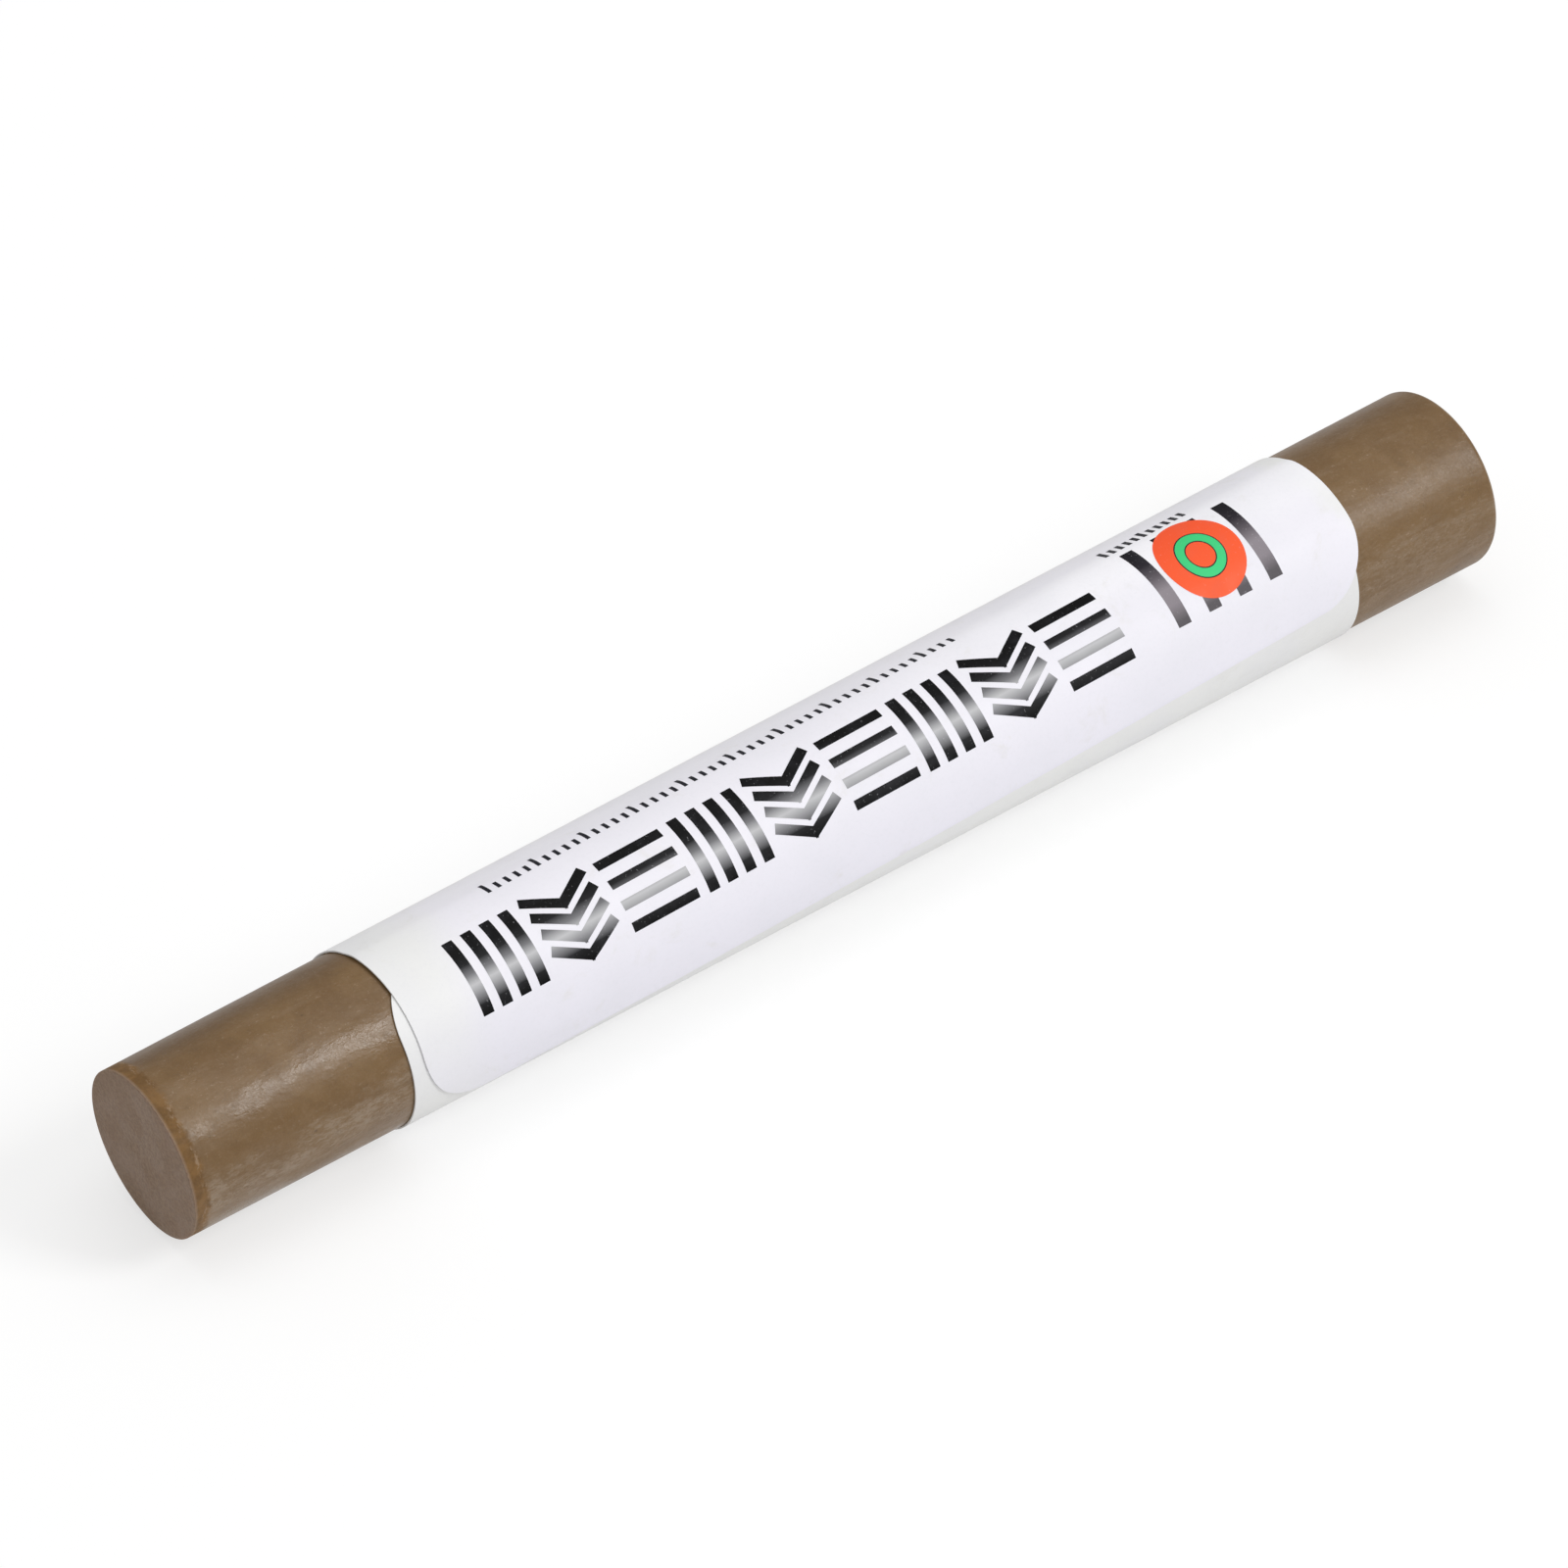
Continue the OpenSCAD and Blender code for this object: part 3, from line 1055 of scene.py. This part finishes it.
def tick_run(pitch, long):
    size = tick_vector(given["Tick wide"], long, given["Ink film"])
    cuts = {"Vertices X": 2, "Vertices Y": 5, "Vertices Z": 2}
    bar = add_node(ticks, "GeometryNodeMeshCube", {"Size": size, **cuts})
    count = add_math(ticks, "FLOOR", add_math(ticks, "DIVIDE", given["Length"], pitch))
    start = tick_vector(0.0, add_math(ticks, "MULTIPLY", long, -0.5))
    sockets = {"Count": count, "Start Location": start, "Offset": tick_vector(pitch)}
    line = add_node(ticks, "GeometryNodeMeshLine", sockets)
    sockets = {"Points": line.outputs[0], "Instance": bar.outputs["Mesh"]}
    return add_node(ticks, "GeometryNodeInstanceOnPoints", sockets).outputs[0]


short_run = tick_run(given["Pitch"], given["Tick long"])
long_run = tick_run(add_math(ticks, "MULTIPLY", given["Pitch"], 5.0), given["Long tick"])
both = add_node(ticks, "GeometryNodeJoinGeometry")
for run in (short_run, long_run):
    ticks.links.new(run, both.inputs[0])
joined = add_node(ticks, "GeometryNodeRealizeInstances", {"Geometry": both.outputs[0]})
placed = add_node(
    ticks,
    "GeometryNodeTransform",
    {
        "Geometry": joined.outputs[0],
        "Translation": tick_vector(given["Start x"], given["Start u"], given["Ink height"]),
        "Rotation": tick_vector(0.0, 0.0, given["Row turn"]),
    },
)
ticks.links.new(placed.outputs[0], made["Geometry"])
print("tick tree has %d nodes" % len(ticks.nodes))

# %% [markdown]
# One tree lays both rows, because its sizes are inputs: the long ruler keeps the values that the tree was
# made with, and the short row gets its own. The winding tree follows as a second modifier.

# %% Wind the two rows of ticks
ruler_row = new_object("printed_ruler_row", bpy.data.meshes.new("printed_ruler_row"))
add_tree(ruler_row, ticks, start_x=sheet_x_at(24.9 * MM), start_u=turn - 0.35 * MM)
wind_on(ruler_row, fine_ink)

short_row = new_object("printed_short_row", bpy.data.meshes.new("printed_short_row"))
short_sizes = {
    "start_x": sheet_x_at(71.5 * MM),
    "start_u": turn - 1.25 * MM,
    "length": 7.2 * MM,
    "pitch": 0.6 * MM,
    "tick_wide": 0.3 * MM,
    "tick_long": 0.7 * MM,
    "long_tick": 0.9 * MM,
}
add_tree(short_row, ticks, **short_sizes)
wind_on(short_row, fine_ink)

# %% [markdown]
# ## The printed spot
# At the far end stands the one coloured spot: a plain orange-red disc with a green, dark-edged ring in
# it, over four dark bars. A disc is made by bending a square grid into a circle, which needs no pole in
# the middle, and a ring by going round in a circle. Each ink lies a few thousandths of a millimetre
# above the one under it, so that no two films share a surface.

# %% Disc and ring
spot_x = sheet_x_at(75.9 * MM)
spot_u = turn + 1.75 * MM
disc_radius = 2.75 * MM
ring_radii = (0.95 * MM, 1.5 * MM)
outline = 0.07 * MM
disc_film = (paper_top + 0.009 * MM, paper_top + 0.013 * MM)
edge_film = (paper_top + 0.014 * MM, paper_top + 0.017 * MM)
ring_film = (paper_top + 0.018 * MM, paper_top + 0.022 * MM)


def disc_place(a, b):
    across, down = 2 * a - 1, 2 * b - 1
    return (
        spot_x + disc_radius * across * math.sqrt(1 - down**2 / 2),
        spot_u + disc_radius * down * math.sqrt(1 - across**2 / 2),
    )


def ring_place(a, b, margin=0.0):
    radius = ring_radii[0] - margin + (ring_radii[1] - ring_radii[0] + 2 * margin) * b
    return spot_x + radius * math.cos(2 * math.pi * a), spot_u + radius * math.sin(2 * math.pi * a)


def outline_place(a, b):
    return ring_place(a, b, outline)


disc = wind_on(flat_slab("printed_disc", disc_place, 24, 24, *disc_film), spot_ink)
edge = wind_on(flat_slab("printed_ring_edge", outline_place, 48, 3, *edge_film, ring=True), fine_ink)
ring = wind_on(flat_slab("printed_ring", ring_place, 48, 3, *ring_film, ring=True), ring_ink)

# %% [markdown]
# The four bars are the lowest film, and the disc lies over them. They share one ink, so they are joined
# into one piece while they are still flat.

# %% Four bars
bar_wide = 0.95 * MM
bar_pitch = 2.35 * MM
bar_film = (first_ink, first_ink + ink_film)
bar_parts = []
for index in range(4):
    middle = spot_x + (index - 1.5) * bar_pitch

    def bar_place(a, b, middle=middle):
        return middle + bar_wide * (a - 0.5), bar_low + (bar_high - bar_low) * b

    bar_parts.append(flat_slab("bar_part", bar_place, 2, 30, *bar_film))
bars = bar_parts[0]
with bpy.context.temp_override(active_object=bars, selected_editable_objects=bar_parts):
    bpy.ops.object.join()
bars.name = "printed_bars"
wind_on(bars, mauve_ink)

# %% [markdown]
# ## The adhesive's finish
# Under the paper lies a thin, soft coat of glue that shows as a cream line at the cut edges. Its CAD solid
# has the right shape, so it stays and only gets a finish: cloudy cream with a damp sheen and a little
# dirt that the sticky edge has picked up.

# %% Adhesive material
glue_finish, tree, shader = new_finish("dried_label_adhesive")
where = place_mm(tree)
cloudy = noise(tree, where, 0.8, 4.0, 0.6)
dirt = noise(tree, where, 3.0, 5.0, 0.7)
colour = lay_over(tree, srgb("#cfc8b0"), cloudy, 0.35, 0.65, 1.0, "#ded8c6")
colour = lay_over(tree, colour, dirt, 0.55, 0.75, 0.5, "#9c8f76")
tree.links.new(colour, shader.inputs["Base Color"])
tree.links.new(add_range(tree, dirt, 0.3, 0.7, 0.3, 0.6), shader.inputs["Roughness"])
tree.links.new(add_bump(tree, cloudy, 0.01 * MM, 0.5), shader.inputs["Normal"])
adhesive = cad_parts["label_adhesive"]
for held in adhesive.material_slots:
    held.material = glue_finish
print("adhesive has %d material slot" % len(adhesive.material_slots))

# %% [markdown]
# ## Floor and light
# The photograph has a plain white ground and soft, even studio light. A large floor carries the stick's
# soft shadow. Seen by the camera, and in reflections, it gets some light of its own, so it reads as
# white without more lamp light on the wax.

# %% Floor
floor_reach = 2.0
own_light_strength = 1.15
own_light_share = 0.55
corners = [(x * floor_reach, y * floor_reach, 0) for x, y in ((-1, -1), (1, -1), (1, 1), (-1, 1))]
floor_mesh = bpy.data.meshes.new("floor")
floor_mesh.from_pydata(corners, [], [(0, 1, 2, 3)])
floor = new_object("floor", floor_mesh)
floor_finish, tree, shader = new_finish("white_floor")
tree.nodes.remove(shader)
ray = add_node(tree, "ShaderNodeLightPath").outputs
seen = sum_of(tree, ray["Is Camera Ray"], ray["Is Glossy Ray"], ray["Is Transmission Ray"])
seen = add_math(tree, "MINIMUM", seen, 1.0)
plain_floor = add_node(tree, "ShaderNodeBsdfDiffuse", {"Color": srgb("#eeeeee")}).outputs[0]
white_light = {"Color": (1, 1, 1, 1), "Strength": own_light_strength}
own_light = add_node(tree, "ShaderNodeEmission", white_light).outputs[0]
share = add_math(tree, "MULTIPLY", seen, own_light_share)
both = add_node(tree, "ShaderNodeMixShader", {0: share, 1: plain_floor, 2: own_light}).outputs[0]
tree.links.new(both, tree.nodes["Material Output"].inputs["Surface"])
floor_mesh.materials.append(floor_finish)
print("floor is %.0f m wide" % (2 * floor_reach))

# %% [markdown]
# The world gives an even light from all round, and is white only where the camera sees it. A big soft
# lamp stands overhead and a second one to the front right, whose reflection makes the pale band along
# the wax.

# %% World and lamps
even_light = 0.52
world = bpy.data.worlds.new("studio")
bpy.context.scene.world = world
world.use_nodes = True
tree = world.node_tree
ray = add_node(tree, "ShaderNodeLightPath").outputs
back = tree.nodes["Background"]
back.inputs["Color"].default_value = (1, 1, 1, 1)
strength = add_math(tree, "MULTIPLY_ADD", ray["Is Camera Ray"], 1 - even_light, even_light)
tree.links.new(strength, back.inputs["Strength"])


def soft_lamp(name, direction, distance, size, watts):
    lamp = bpy.data.objects.new(name, bpy.data.lights.new(name, "AREA"))
    lamp.data.shape = "RECTANGLE"
    lamp.data.size, lamp.data.size_y = size
    lamp.data.energy = watts
    way = Vector(direction).normalized()
    lamp.location = way * distance
    lamp.rotation_euler = way.to_track_quat("Z", "Y").to_euler()
    bpy.context.scene.collection.objects.link(lamp)
    print("%s: %.1f W" % (name, watts))


soft_lamp("overhead_lamp", direction=(0.1, 0.1, 1.0), distance=1.0, size=(0.9, 0.7), watts=2.4)
soft_lamp("front_right_lamp", direction=(0.48, -0.59, 0.65), distance=2.0, size=(0.6, 0.84), watts=16.4)

# %% [markdown]
# ## Joining the frame
# The stick has one body, so every piece rides on it. The wax and the label stand in for their CAD
# solids, which are hidden.

# %% Ride and replace
for piece in (wax, label, printed_row, ruler_row, short_row, disc, edge, ring, bars):
    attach(piece, "root")
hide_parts("wax_stick")
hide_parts("label_paper")

scene = bpy.context.scene
scene.view_settings.view_transform = "Standard"
